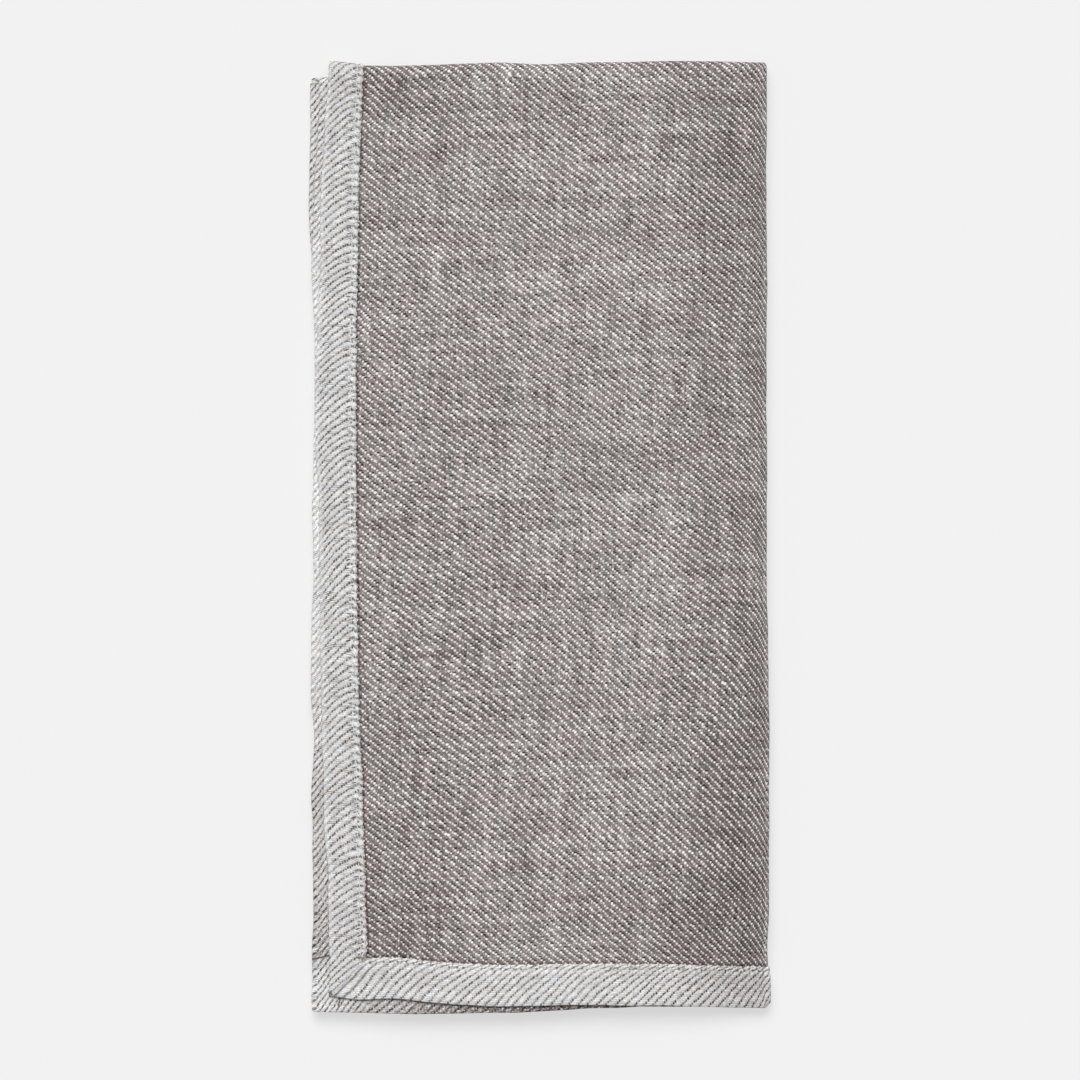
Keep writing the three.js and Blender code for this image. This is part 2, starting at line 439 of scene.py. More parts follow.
def press_at(x, y):
    """By how much the stack is lifted or pressed at a place."""
    lift = 1.0 + sum(place["lift"] * near(place, x, y) for place in SOFT_PLACES)
    low = smoothstep(-y, 60, 170)
    falling = smoothstep(x, 68 - 26 * low, 88)
    side = (SIDE_THINNING + LOW_SIDE_THINNING * low) * falling
    return lift - side - CORNER_THINNING * near(LOW_CORNER, abs(x), y)


# Painted light and shade: where the face panel is painted a shade lighter or darker
# than the rest, as light falls on its soft folds
PAINTED_SHADING_PLACES = [
    {"x": -4, "y": 88, "across": 22, "along": 26, "share": 0.05},
    {"x": 33, "y": -38, "across": 18, "along": 26, "share": 0.05},
    {"x": 11, "y": 22, "across": 16, "along": 16, "share": 0.04},
    {"x": -41, "y": -23, "across": 16, "along": 26, "share": -0.05},
    {"x": -48, "y": -84, "across": 18, "along": 26, "share": -0.09},
    {"x": 67, "y": 110, "across": 11, "along": 60, "share": -0.11},
    {"x": 65, "y": -30, "across": 11, "along": 80, "share": -0.09},
    {"x": 73, "y": 150, "across": 10, "along": 26, "share": -0.11},
    {"x": -66, "y": -170, "across": 24, "along": 9, "share": 0.04},
    {"x": 38, "y": 40, "across": 12, "along": 90, "share": 0.05},
    {"x": -46, "y": 158, "across": 18, "along": 18, "share": -0.05},
    {"x": -11, "y": 44, "across": 12, "along": 12, "share": -0.03},
    {"x": 62, "y": -138, "across": 34, "along": 40, "share": -0.16},
    {"x": -48, "y": -132, "across": 24, "along": 28, "share": -0.12},
    {"x": -62, "y": 168, "across": 18, "along": 8, "share": -0.13},
]


def panel_painted_shading(x, y, turn):
    """The painted light and shade of the face panel: its painted places, painted shade towards the
    closed side and where it rolls over the top fold, and a little painted light low on its end hem.
    """
    tone = 1.0 + sum(place["share"] * near(place, x, y) for place in PAINTED_SHADING_PLACES)
    low = smoothstep(-y, -60, 150)
    side = smoothstep(x, 74 - 24 * low, 82 - 6 * low)
    lower_hem = smoothstep(-y, 163, 172)
    return tone - (0.10 + 0.06 * low) * side - 0.12 * math.cos(turn) ** 2 + 0.05 * lower_hem


def strip_painted_shading(y):
    """The painted light and shade of the strip beside the face panel, along its length."""
    tone = 1.0 + 0.19 * bell(y, 45, 52) - 0.02 * smoothstep(y, 115, 140)
    tone += 0.04 * smoothstep(y, 150, 165)
    tone -= 0.16 * smoothstep(-y, 50, 90) * smoothstep(y, -164, -152)
    return tone - 0.08 * bell(y, -143, 12) + 0.12 * smoothstep(-y, 158, 168)


def wedge_painted_shadow(x, y):
    """How much painted shadow darkens the wedge below the face panel's end, most so in its middle."""
    lowest = smoothstep(-y, 170.5, 173.0)
    middle = smoothstep(x, -70, -24) * smoothstep(-x, -46, -22)
    return lowest * (0.30 * smoothstep(x, -79, -69) + 0.40 * middle)


def painted_shading_at(column, row, point):
    """The painted light and shade of the cloth at a point, over its yarns' own colours."""
    x, y, _ = point
    if column["layer"] == 2 and "angle" not in column:
        return panel_painted_shading(x, y, row["turn"])
    tone = strip_painted_shading(y) if x < 0 else 1.0
    return tone - wedge_painted_shadow(x, y) if row["turn"] > 0 else tone


def place_point(column, row, edges, offset):
    """One point of the sheet. offset is its distance from the middle of a
    layer's thickness, towards the face."""
    anchor = lerp(edges[column["from"]], edges[column["to"]], column["share"]) + column["extra"]
    x = anchor
    y = place_along(column, row, anchor)
    layer = column["layer"]
    heights, middle = stack_at(anchor, y)
    if "angle" in column:
        upper = heights[layer]
        lower = heights[layer - 1]
        radius = (upper - lower) / 2 + column["side"] * offset
        x += column["side"] * radius * math.cos(column["angle"])
        y = place_along(column, row, x)
        reach = (upper + lower) / 2 + radius * math.sin(column["angle"])
    else:
        facing = -1 if layer == 1 else 1
        reach = heights[layer] + facing * offset
    along = y + reach * math.cos(row["turn"])
    height = middle + reach * math.sin(row["turn"])
    return Vector((x, along, height * press_at(x, along)))


# ---------------------------------------------------- how the weave is drawn

# The face panel's weave has been pulled out of square. A row gives the middle
# of a pull, its reach each way, and how far it shifts the warp (ends) and the
# weft (picks) there.
WEAVE_PULLS = [
    {"x": -4, "y": -20, "across": 42, "along": 100, "ends": -5.2, "picks": 0.0},
    {"x": 58, "y": 48, "across": 34, "along": 80, "ends": 0.0, "picks": -2.0},
    {"x": 70, "y": -25, "across": 16, "along": 42, "ends": -1.0, "picks": -1.6},
    {"x": 24, "y": -166, "across": 70, "along": 12, "ends": 0.0, "picks": -1.6},
    {"x": -66, "y": -60, "across": 26, "along": 110, "ends": 0.8, "picks": 1.8},
    {"x": 0, "y": -160, "across": 140, "along": 90, "ends": 0.8, "picks": 3.0},
    {"x": 86, "y": -160, "across": 20, "along": 60, "ends": 2.4, "picks": 2.6},
    {"x": 0, "y": 140, "across": 160, "along": 40, "ends": 0.6, "picks": 0.5},
    {"x": -52, "y": -72, "across": 28, "along": 90, "ends": 0.3, "picks": 1.5},
    {"x": -44, "y": -85, "across": 22, "along": 36, "ends": 1.0, "picks": 0.0},
    {"x": 72, "y": -8, "across": 44, "along": 52, "ends": -1.8, "picks": 0.0},
    {"x": 24, "y": -112, "across": 60, "along": 30, "ends": 1.8, "picks": 0.0},
    {"x": -20, "y": 84, "across": 18, "along": 28, "ends": 0.0, "picks": 0.7},
    {"x": -55, "y": 130, "across": 18, "along": 22, "ends": 0.6, "picks": -1.0},
    {"x": 46, "y": 146, "across": 30, "along": 18, "ends": 0.0, "picks": -1.0},
    {"x": 42, "y": 174, "across": 34, "along": 10, "ends": 1.4, "picks": 0.6},
]

# How steeply the weave is pulled along the cloth where it turns over the loose
# fold, and how far before the turn that starts
FOLD_SKEW = 0.62
SKEW_EASE = 6.0

# Towards the closed side the cloth rolls over, gently and then tightly: over
# each reach more and more of it lies in each millimetre, so much more in all
GENTLE_REACH = 18.0
GENTLE_ROLL = 3.8
TIGHT_REACH = 5.5
TIGHT_ROLL = 3.0

# How far stitching has dragged the weave of a hem along the hem, by place in
# from its outer edge (a share of its width)
HEM_DRAG_COLUMNS = ("in", "side", "end")
HEM_DRAG = [
    (0.0, 0.0, 0.0),
    (0.1, -0.5, 0.45),
    (0.3, -1.2, 1.2),
    (0.5, -1.45, 1.6),
    (0.7, -1.3, 1.55),
    (0.86, -0.8, 0.9),
    (1.0, 1.5, -1.6),
]

# How far a hem's weave leans along the hem for each millimetre inwards: waves
# along the hem, and places that lean more
SIDE_LEAN = {
    "waves": [
        {"size": 0.07, "length": 38.0, "start": -2.6},
        {"size": 0.06, "length": 13.0, "start": 1.0},
        {"size": 0.05, "length": 5.1, "start": 0.0},
    ],
    "places": [
        {"size": 0.12, "at": 155.0, "reach": 45.0},
        {"size": 0.09, "at": 232.0, "reach": 45.0},
    ],
}
END_LEAN = {
    "waves": [
        {"size": 0.06, "length": 27.0, "start": 0.6},
        {"size": 0.06, "length": 11.0, "start": 0.0},
        {"size": 0.05, "length": 4.7, "start": 0.0},
    ],
    "places": [
        {"size": 0.10, "at": 17.0, "reach": 8.0},
    ],
}

# How far the end hem was pulled along before it was sewn down, and the bend of
# its weave near the left corner
END_HEM_SHIFT = 2.4
END_BEND = {"size": -0.8, "at": 14.0, "reach": 6.0}

# By how much the side hem's weave is crowded at its lower end
END_CROWD = 0.2

# Stands for a distance where there is no mitre, or no panel's end, to count from
FAR = 30.0


def fold_skew(u, start, stop):
    """How far the weave is pulled along the cloth where it turns over the loose
    fold on the left."""
    return FOLD_SKEW * min(max(u - start, 0.0), stop - start)


def weave_pull(point):
    """How far the weave of the face panel is shifted across and along."""
    ends = 0.0
    picks = 0.0
    for place in WEAVE_PULLS:
        share = near(place, point.x, point.y)
        ends += place["ends"] * share
        picks += place["picks"] * share
    return ends, picks


def roll_at(u, stop):
    """How much further round the cloth a place lies near the closed side."""
    gentle = min(max(1 + (u - stop) / GENTLE_REACH, 0.0), 1.0) ** 3
    tight = min(max(1 + (u - stop) / TIGHT_REACH, 0.0), 1.0) ** 3
    return GENTLE_ROLL * gentle + TIGHT_ROLL * tight


def lean_at(lean, at):
    """How far the weave leans at a place along a hem."""
    most = sum(place["size"] * bell(at, place["at"], place["reach"]) for place in lean["places"])
    for wave in lean["waves"]:
        most += wave["size"] * math.sin(at / wave["length"] + wave["start"])
    return most


def hem_in(index, width):
    """How far inwards a hem station lies from the hem's outer edge."""
    station = HEM_PROFILE[index]
    return station["in"] if station["line"] == "edge" else width + station["in"]


def edge_distance(index):
    """How far outwards a hem station lies from the hem's inner edge."""
    station = HEM_PROFILE[index]
    return -station["in"] if station["line"] == "inside" else INNER_SIDE_HEM - station["in"]


def side_band(v, inwards, width, left, cloth_width):
    """Cloth coordinates of a side hem, which shows the reverse turned over the
    cloth's edge."""
    drag = read_table(HEM_DRAG, HEM_DRAG_COLUMNS, inwards / width, "side", evenly)
    slide = drag - lean_at(SIDE_LEAN, v) * inwards
    if not left:
        return cloth_width + inwards, v + slide
    crowd = 1 + END_CROWD * (1 - smoothstep(v, 5.0, 24.0))
    return -inwards * crowd, v * crowd + slide


def end_band(u, inwards, front):
    """Cloth coordinates of an end hem."""
    drag = read_table(HEM_DRAG, HEM_DRAG_COLUMNS, inwards / END_HEM, "end", evenly)
    bend = END_BEND["size"] * math.sin(math.tau * inwards / END_HEM)
    bend *= bell(u, END_BEND["at"], END_BEND["reach"])
    slide = END_HEM_SHIFT + drag + bend + lean_at(END_LEAN, u) * inwards
    return u + slide, -inwards if front else CLOTH_LENGTH + inwards


def mitre_distance(column_hem, row_hem):
    """How far a place lies from the mitre: positive on the end hem's side."""
    if column_hem >= FIELD:
        return FAR
    if row_hem >= FIELD:
        return -FAR
    return hem_in(column_hem, END_HEM) - hem_in(row_hem, END_HEM)


# ------------------------------------------------------------ the cloth's mesh

# The order of the sheet's materials
FACE, TURNED, REVERSE = range(3)

# From here inwards the face panel's end throws a shadow on the panels below
SHADOW_START = -80.0


def cloth_distances(columns):
    """The distance of each column across the cloth, from the face panel's hem."""
    row = row_at(END_HEM + PANEL_RUN * 0.5)
    edges = edges_at(row)
    points = [place_point(column, row, edges, 0.0) for column in columns]
    distances = [0.0]
    for before, after in zip(points, points[1:]):
        distances.append(distances[-1] + (after - before).length)
    return distances


class SheetPlan:
    """The stations of the sheet, and what its cells read there."""

    def __init__(self):
        self.columns = all_columns()
        self.rows = all_rows()
        for row in self.rows:
            row["edges"] = edges_at(row)
        self.across = len(self.columns) - 1
        self.along = len(self.rows) - 1
        self.distances = cloth_distances(self.columns)
        self.lengths = [row["v"] for row in self.rows]
        self.closed = self.turns(1)
        self.loose = self.turns(-1)
        self.pulls = [[self.pull(column, row) for column in self.columns] for row in self.rows]

    def turns(self, side):
        """The columns that go round the closed fold or the loose one."""
        return [place for place, column in enumerate(self.columns) if column.get("side") == side]

    def pull(self, column, row):
        """The weave's pull where a column crosses a row."""
        return weave_pull(place_point(column, row, row["edges"], 0.0))

    def column_in(self, column):
        """Counts a column from the nearer side."""
        return min(column, self.across - column)

    def row_in(self, row):
        """Counts a row from the nearer end."""
        return min(row, self.along - row)

    def rolled(self, column):
        """A column's distance across the cloth, with the roll of the closed side."""
        u = self.distances[column]
        return u + roll_at(u, self.distances[self.closed[FOLD_STEPS // 2]])

    def cloth_spot(self, column, row, on_face):
        """The distances across and along the cloth that a point's weave has."""
        skew_start = self.distances[self.loose[0] - 1] - SKEW_EASE
        skew_stop = self.distances[self.loose[-1] + 1]
        u = self.rolled(column)
        v = self.lengths[row] + fold_skew(self.distances[column], skew_start, skew_stop)
        if not on_face:
            return u, v
        ends, picks = self.pulls[row][column]
        return u + ends, v + picks

    def band_spot(self, column, row, by_side, first):
        """Where a point of a turned hem lies on the cloth. first is the left hem
        and the front half's end hem."""
        if not by_side:
            return end_band(self.rolled(column), hem_in(self.row_in(row), END_HEM), first)
        edges = self.rows[row]["edges"]
        width = edges["hem_inside"] - edges["hem"] if first else INNER_SIDE_HEM
        inwards = hem_in(self.column_in(column), width)
        return side_band(self.lengths[row], inwards, width, first, self.distances[-1])

    def hem_spot(self, column, row, by_side):
        """How far outwards a point lies from the nearer hem's inner edge, and
        how far along that hem."""
        index = self.column_in(column) if by_side else self.row_in(row)
        along = self.lengths[row] if by_side else self.distances[column]
        return edge_distance(min(index, FIELD - 1)), along


def bake_tiles(plan):
    """Blocks of the sheet laid out side by side in one square. A block has its
    side (1 the face, -1 the reverse, 0 the rim), its first and last column and
    row, and its rectangle; what shows from outside takes most of the square."""
    closed = plan.closed[-1]
    strip = plan.loose[0] - 2
    inner = plan.loose[0] + FOLD_STEPS
    across = plan.across
    along = plan.along
    middle = FIELD + FRONT_STEPS + TOP_FOLD_STEPS // 2 - 1
    low_rim = 6
    blocks = [
        (1, (0, closed), (0, middle), (0.004, 0.004, 0.480, 0.996)),
        (1, (0, closed), (middle, along), (0.566, 0.500, 0.996, 0.996)),
        (1, (closed, across), (0, along), (0.566, 0.004, 0.700, 0.240)),
        (-1, (strip, inner), (0, middle), (0.488, 0.004, 0.552, 0.996)),
        (-1, (strip, inner), (middle, along), (0.566, 0.250, 0.600, 0.492)),
        (-1, (closed, strip), (0, low_rim), (0.610, 0.250, 0.996, 0.300)),
        (-1, (0, strip), (0, along), (0.710, 0.004, 0.850, 0.240)),
        (-1, (inner, across), (0, along), (0.860, 0.004, 0.996, 0.240)),
        (0, (0, 0), (0, along), (0.555, 0.004, 0.562, 0.996)),
        (0, (across, across), (0, along), (0.610, 0.310, 0.617, 0.492)),
        (0, (0, across), (0, 0), (0.630, 0.320, 0.996, 0.328)),
        (0, (0, across), (along, along), (0.630, 0.340, 0.996, 0.348)),
    ]
    return [dict(zip(("side", "columns", "rows", "box"), block)) for block in blocks]


def within(span, place):
    """Whether the middle of a cell lies in a span of stations, ends included."""
    return span[0] - 0.1 < place < span[1] + 0.1


def tile_of(tiles, side, column, row):
    """The first block that a cell lies in."""
    for tile in tiles:
        if tile["side"] == side and within(tile["columns"], column) and within(tile["rows"], row):
            return tile
    return tiles[0]


def span_share(marks, place, span, depth):
    """How far a station lies through a block. Through the rim, depth runs from
    one side of the cloth to the other."""
    first, last = span
    return depth if first == last else evenly(marks[place], marks[first], marks[last])


def bake_spot(tile, plan, column, row, depth):
    """Where a point of a block goes in the square."""
    left, bottom, right, top = tile["box"]
    across = span_share(plan.distances, column, tile["columns"], depth)
    along = span_share(plan.lengths, row, tile["rows"], depth)
    return lerp(left, right, across), lerp(bottom, top, along)


def sheet_lattice(across, along):
    """A closed sheet one unit thick, with a square cell between any two
    neighbouring columns and rows."""
    sheet = bmesh.new()
    bmesh.ops.create_grid(sheet, x_segments=across, y_segments=along, size=0.5)
    bmesh.ops.translate(sheet, verts=sheet.verts, vec=(0.5, 0.5, 0.0))
    bmesh.ops.scale(sheet, verts=sheet.verts, vec=(across, along, 1.0))
    bmesh.ops.solidify(sheet, geom=sheet.faces[:], thickness=1.0)
    return sheet


def split_mitres(sheet, plan):
    """Splits the cells that a corner's mitre crosses, along the mitre."""
    for cell in sheet.faces[:]:
        centre = cell.calc_center_median()
        column = plan.column_in(centre.x)
        row = plan.row_in(centre.y)
        if abs(cell.normal.z) < 0.5 or column > HEM_FOOT or abs(column - row) > 0.1:
            continue
        left = centre.x < plan.across / 2
        bottom = centre.y < plan.along / 2
        towards = Vector((1 if left else -1, 1 if bottom else -1, 0))
        ordered = sorted(cell.verts, key=lambda vert: (vert.co - centre).dot(towards))
        bmesh.utils.face_split(cell, ordered[0], ordered[-1])


def lattice_places(sheet):
    """The column, the row and the depth (0 the reverse, 1 the face) of every
    point of the lattice."""
    heights = [vert.co.z for vert in sheet.verts]
    low = min(heights)
    high = max(heights)
    return {
        vert: (round(vert.co.x), round(vert.co.y), evenly(vert.co.z, low, high))
        for vert in sheet.verts
    }


def lay_cells(sheet, plan, places, layers):
    """Gives every cell its material, and every corner its places on the cloth,
    beside its hem and in the square for baking."""
    tiles = bake_tiles(plan)
    for cell in sheet.faces:
        centre = cell.calc_center_median()
        by_side = plan.column_in(centre.x) < plan.row_in(centre.y)
        on_face = cell.normal.z > 0.5
        in_band = on_face and min(plan.column_in(centre.x), plan.row_in(centre.y)) < HEM_FOOT
        first = centre.x < plan.across / 2 if by_side else centre.y < plan.along / 2
        tile = tile_of(tiles, round(cell.normal.z), centre.x, centre.y)
        cell.smooth = True
        cell.material_index = (TURNED if in_band else FACE) if on_face else REVERSE
        for loop in cell.loops:
            column, row, depth = places[loop.vert]
            edge, beside = plan.hem_spot(column, row, by_side)
            if in_band:
                u, v = plan.band_spot(column, row, by_side, first)
            else:
                u, v = plan.cloth_spot(column, row, on_face)
            loop[layers["cloth"]].uv = (u * MM, v * MM)
            loop[layers["hem"]].uv = (edge * MM, beside * MM)
            loop[layers["OFBake"]].uv = bake_spot(tile, plan, column, row, depth)


def lay_points(sheet, plan, places, layers):
    """Takes every point of the lattice to its place on the folded towel, and
    gives it the numbers that the materials read."""
    for vert in sheet.verts:
        column_index, row_index, depth = places[vert]
        column = plan.columns[column_index]
        row = plan.rows[row_index]
        hem = min(column["hem"], row["hem"])
        on_face = depth > 0.5
        if hem < FIELD:
            offset = HEM_PROFILE[hem]["top" if on_face else "under"]
        else:
            offset = THICKNESS / 2 if on_face else -THICKNESS / 2
        vert.co = place_point(column, row, row["edges"], offset)
        # The broad painted light and shade of the cloth at this point
        vert[layers["tone"]] = painted_shading_at(column, row, vert.co)
        vert[layers["mitre"]] = mitre_distance(column["hem"], row["hem"])
        shows = column["layer"] < 2 and row["turn"] > 0 and vert.co.x > SHADOW_START
        panel_end = end_line(vert.co.x, "face") - HALF_LENGTH
        vert[layers["below"]] = panel_end - vert.co.y if shows else -FAR


def new_piece(name, shape, materials):
    """Makes a bmesh a piece of the scene."""
    mesh = bpy.data.meshes.new(name)
    shape.to_mesh(mesh)
    shape.free()
    for material in materials:
        mesh.materials.append(material)
    piece = bpy.data.objects.new(name, mesh)
    bpy.context.scene.collection.objects.link(piece)
    return piece


def build_cloth(face, turned, reverse):
    """The folded towel, stood on the table, and the place of its lowest point
    before that."""
    plan = SheetPlan()
    sheet = sheet_lattice(plan.across, plan.along)
    split_mitres(sheet, plan)
    corner_layers = {name: sheet.loops.layers.uv.new(name) for name in ("cloth", "hem", "OFBake")}
    point_layers = {name: sheet.verts.layers.float.new(name) for name in ("tone", "mitre", "below")}
    places = lattice_places(sheet)
    lay_cells(sheet, plan, places, corner_layers)
    lay_points(sheet, plan, places, point_layers)

    home = Vector((0.0, 0.0, min(vert.co.z for vert in sheet.verts)))
    bmesh.ops.translate(sheet, verts=sheet.verts, vec=-home)
    bmesh.ops.scale(sheet, verts=sheet.verts, vec=(MM, MM, MM))
    bmesh.ops.recalc_face_normals(sheet, faces=sheet.faces)
    return new_piece("towel_cloth", sheet, (face, turned, reverse)), home


# ------------------------------------------------------------------- stitches

# Distance from stitch to stitch, what shows of one, and how its length varies
STITCH_PITCH = 2.75
STITCH_LENGTH = 2.1
STITCH_RADIUS = 0.23
STITCH_SHARES = (0.85, 1.1)

# How far a stitch sinks into the cloth, and how far from its middle the two
# places lie that give its direction
STITCH_SINK = 0.02
STITCH_AIM = 0.4


def side_stitches(column, offset, start, stop):
    """Middle and direction of every stitch of a side hem."""
    stitches = []
    count = int((stop - start) / STITCH_PITCH)
    for number in range(count):
        v = start + (number + 0.5) * (stop - start) / count
        rows = [row_at(v + ahead) for ahead in (-STITCH_AIM, 0.0, STITCH_AIM)]
        before, middle, after = [place_point(column, row, edges_at(row), offset) for row in rows]
        stitches.append((middle, (after - before).normalized()))
    return stitches


def end_stitches(columns, offset, v):
    """Middle and direction of every stitch of an end hem, from one side hem's
    stitches to the other's."""
    row = row_at(v)
    edges = edges_at(row)
    stitches = []
    for first, second in zip(columns, columns[1:]):
        if first["hem"] < STITCH_LINE and first["layer"] == 2:
            continue
        if second["hem"] < STITCH_LINE and second["layer"] == 0:
            continue
        start, stop = [place_point(column, row, edges, offset) for column in (first, second)]
        span = stop - start
        number = int(span.length / STITCH_PITCH + 0.5)
        for step in range(number):
            stitches.append((start.lerp(stop, (step + 0.5) / number), span.normalized()))
    return stitches


def stitch_places():
    """Middle and direction of every stitch on the face side of the hems."""
    station = HEM_PROFILE[STITCH_LINE]
    offset = station["top"] - STITCH_SINK
    columns = all_columns()
    start = END_HEM + station["in"]
    stop = CLOTH_LENGTH - start
    stitches = []
    for column in (columns[STITCH_LINE], columns[-1 - STITCH_LINE]):
        stitches += side_stitches(column, offset, start, stop)
    for v in (start, stop):
        stitches += end_stitches(columns, offset, v)
    return stitches


def build_stitches(home, thread):
    """All the stitches, each a short pill of thread, joined into one piece."""
    chance = random.Random(5)
    pill = bmesh.new()
    bmesh.ops.create_uvsphere(pill, u_segments=6, v_segments=4, radius=1.0)
    one = bpy.data.meshes.new("one_stitch")
    pill.to_mesh(one)
    pill.free()
    seam = bmesh.new()
    for middle, direction in stitch_places():
        turn = Vector((0, 0, 1)).rotation_difference(direction).to_matrix().to_4x4()
        length = STITCH_LENGTH * chance.uniform(*STITCH_SHARES) / 2
        shape = Matrix.Diagonal((STITCH_RADIUS, STITCH_RADIUS, length, 1.0))
        placed = one.copy()
        placed.transform(Matrix.Scale(MM, 4) @ Matrix.Translation(middle - home) @ turn @ shape)
        seam.from_mesh(placed)
        bpy.data.meshes.remove(placed)
    bpy.data.meshes.remove(one)
    for cell in seam.faces:
        cell.smooth = True
    return new_piece("hem_stitches", seam, (thread,))


# -------------------------------------------------- numbers worked by a shader


class Term:
    """A number that a shader works out. Arithmetic on terms adds math nodes."""

    def __init__(self, tree, socket):
        self.tree = tree
        self.socket = socket

    def math(self, operation, *others):
        node = self.tree.nodes.new("ShaderNodeMath")
        node.operation = operation
        for slot, value in enumerate((self, *others)):
            plug(self.tree, node.inputs[slot], value)
        return Term(self.tree, node.outputs[0])

    def __add__(self, other):
        return self.math("ADD", other)

    def __sub__(self, other):
        return self.math("SUBTRACT", other)

    def __mul__(self, other):
        return self.math("MULTIPLY", other)

    def __truediv__(self, other):
        return self.math("DIVIDE", other)

    def at_least(self, other):
        return self.math("MAXIMUM", other)

    def at_most(self, other):
        return self.math("MINIMUM", other)

    def power(self, exponent):
        return self.math("POWER", exponent)

    def squared(self):
        return self.math("MULTIPLY", self)

    def floor(self):
        return self.math("FLOOR")

    def fract(self):
        return self.math("FRACT")

    def wrap(self, span):
        return self.math("FLOORED_MODULO", span)

    def wave(self):
        """The cosine of a count of whole turns."""
        return (self * math.tau).math("COSINE")

    def rest(self):
        """What is left of 1."""
        return self * -1.0 + 1.0

    def varied(self, other, amount):
        """This term, made larger or smaller by an amount of another."""
        return self * (other * amount + 1.0)

    def ramp(self, low, high, start=0.0, stop=1.0):
        """Goes smoothly from start to stop while the term goes from low to high."""
        node = self.tree.nodes.new("ShaderNodeMapRange")
        node.interpolation_type = "SMOOTHSTEP"
        plug(self.tree, node.inputs["Value"], self)
        plug(self.tree, node.inputs["From Min"], low)
        plug(self.tree, node.inputs["From Max"], high)
        plug(self.tree, node.inputs["To Min"], start)
        plug(self.tree, node.inputs["To Max"], stop)
        return Term(self.tree, node.outputs["Result"])


def plug(tree, socket, value):
    """Sets a socket to a value, or links a term or another socket to it."""
    if isinstance(value, Term):
        tree.links.new(value.socket, socket)
    elif isinstance(value, bpy.types.NodeSocket):
        tree.links.new(value, socket)
    else:
        socket.default_value = value


def split_terms(tree, socket):
    """The three numbers of a place."""
    parts = tree.nodes.new("ShaderNodeSeparateXYZ")
    tree.links.new(socket, parts.inputs[0])
    return [Term(tree, output) for output in parts.outputs]


def uv_terms(tree, name):
    """The two distances that a UV map of the cloth holds, in millimetres."""
    uv = tree.nodes.new("ShaderNodeUVMap")
    uv.uv_map = name
    first, second, _ = split_terms(tree, uv.outputs["UV"])
    return first / MM, second / MM


def object_socket(tree):
    """The place on the piece, in metres."""
    return tree.nodes.new("ShaderNodeTexCoord").outputs["Object"]


def attribute_term(tree, name):
    """A number the mesh carries at its points: the broad painted light and shade
    of the cloth, the distance from a corner's seam (mitre), or how far a place
    lies below the face panel's end (below)."""
    node = tree.nodes.new("ShaderNodeAttribute")
    node.attribute_name = name
    return Term(tree, node.outputs["Fac"])


def together(tree, first, second, third=0.0):
    """Three numbers as one place or colour."""
    node = tree.nodes.new("ShaderNodeCombineXYZ")
    for slot, value in enumerate((first, second, third)):
        plug(tree, node.inputs[slot], value)
    return node.outputs[0]


def soft_noise(tree, first, second, seed=0.0, detail=2.0, roughness=0.5):
    """Smooth noise about 0, roughly from -1 to 1. A yarn's whole number, times
    a few lumps, gives each yarn noise of its own."""
    node = tree.nodes.new("ShaderNodeTexNoise")
    node.noise_dimensions = "3D"
    node.inputs["Scale"].default_value = 1.0
    node.inputs["Detail"].default_value = detail
    node.inputs["Roughness"].default_value = roughness
    tree.links.new(together(tree, first, second, seed), node.inputs["Vector"])
    return (Term(tree, node.outputs["Fac"]) - 0.5) * 2.0


def chances_of(tree, first, second, seed=0.0):
    """Three numbers from 0 to 1 for each pair of whole numbers."""
    node = tree.nodes.new("ShaderNodeTexWhiteNoise")
    node.noise_dimensions = "3D"
    tree.links.new(together(tree, first, second, seed), node.inputs["Vector"])
    parts = tree.nodes.new("ShaderNodeSeparateColor")
    tree.links.new(node.outputs["Color"], parts.inputs[0])
    return [Term(tree, socket) for socket in parts.outputs]


def colour_mix(tree, share, first, second):
    """Mixes two colours, each an (r, g, b) or a socket. The mixing node has its
    two colours in its slots 6 and 7, and the mixed one in 2."""
    node = tree.nodes.new("ShaderNodeMix")
    node.data_type = "RGBA"
    plug(tree, node.inputs["Factor"], share)
    for slot, value in ((6, first), (7, second)):
        plug(tree, node.inputs[slot], (*value, 1.0) if isinstance(value, tuple) else value)
    return node.outputs[2]


def colour_maths(tree, operation, colour, slot, value):
    """A colour worked on by a vector operation, with the value in its slot."""
    node = tree.nodes.new("ShaderNodeVectorMath")
    node.operation = operation
    tree.links.new(colour, node.inputs[0])
    plug(tree, node.inputs[slot], value)
    return node.outputs[0]


def colour_scale(tree, colour, factor):
    """A colour made lighter or darker by a term."""
    return colour_maths(tree, "SCALE", colour, "Scale", factor)


def with_painted_shading(tree, colour, tone):
    """A colour under the painted light and shade of the cloth: where it is painted darker it is also
    warmer.
    """
    warm = together(tree, tone.power(0.9), tone, tone.power(1.04))
    return colour_maths(tree, "MULTIPLY", colour, 1, warm)


def srgb(red, green, blue):
    """Linear colour from 8-bit display values."""
    return tuple(
        value / 12.92 if value <= 0.04045 else ((value + 0.055) / 1.055) ** 2.4
        for value in (red / 255, green / 255, blue / 255)
    )


def new_material(name):
    """A material with its node tree and its shader."""
    material = bpy.data.materials.new(name)
    material.use_nodes = True
    tree = material.node_tree
    return material, tree, tree.nodes["Principled BSDF"]


# ----------------------------------------------------------------- the yarns

WARP_WARM = srgb(145, 133, 130)
WARP_GREY = srgb(147, 143, 142)
# The colour of the painted shade in the pits of the face
PIT_SHADE = srgb(54, 44, 43)
WEFT_PALE = srgb(250, 247, 246)
WEFT_SHADE = srgb(210, 206, 204)
REVERSE_WARM = srgb(229, 226, 222)
REVERSE_COOL = srgb(228, 229, 232)
WARP_ON_REVERSE = srgb(82, 72, 67)
THREAD_DARK = srgb(196, 194, 190)
THREAD_PALE = srgb(226, 225, 222)

# The weave repeats after so many ends, and after as many picks.
REPEAT = 4.0

# How deep the bump of each surface is, in metres
FACE_RELIEF = 0.00010
REVERSE_RELIEF = 0.00018
THREAD_RELIEF = 0.00005


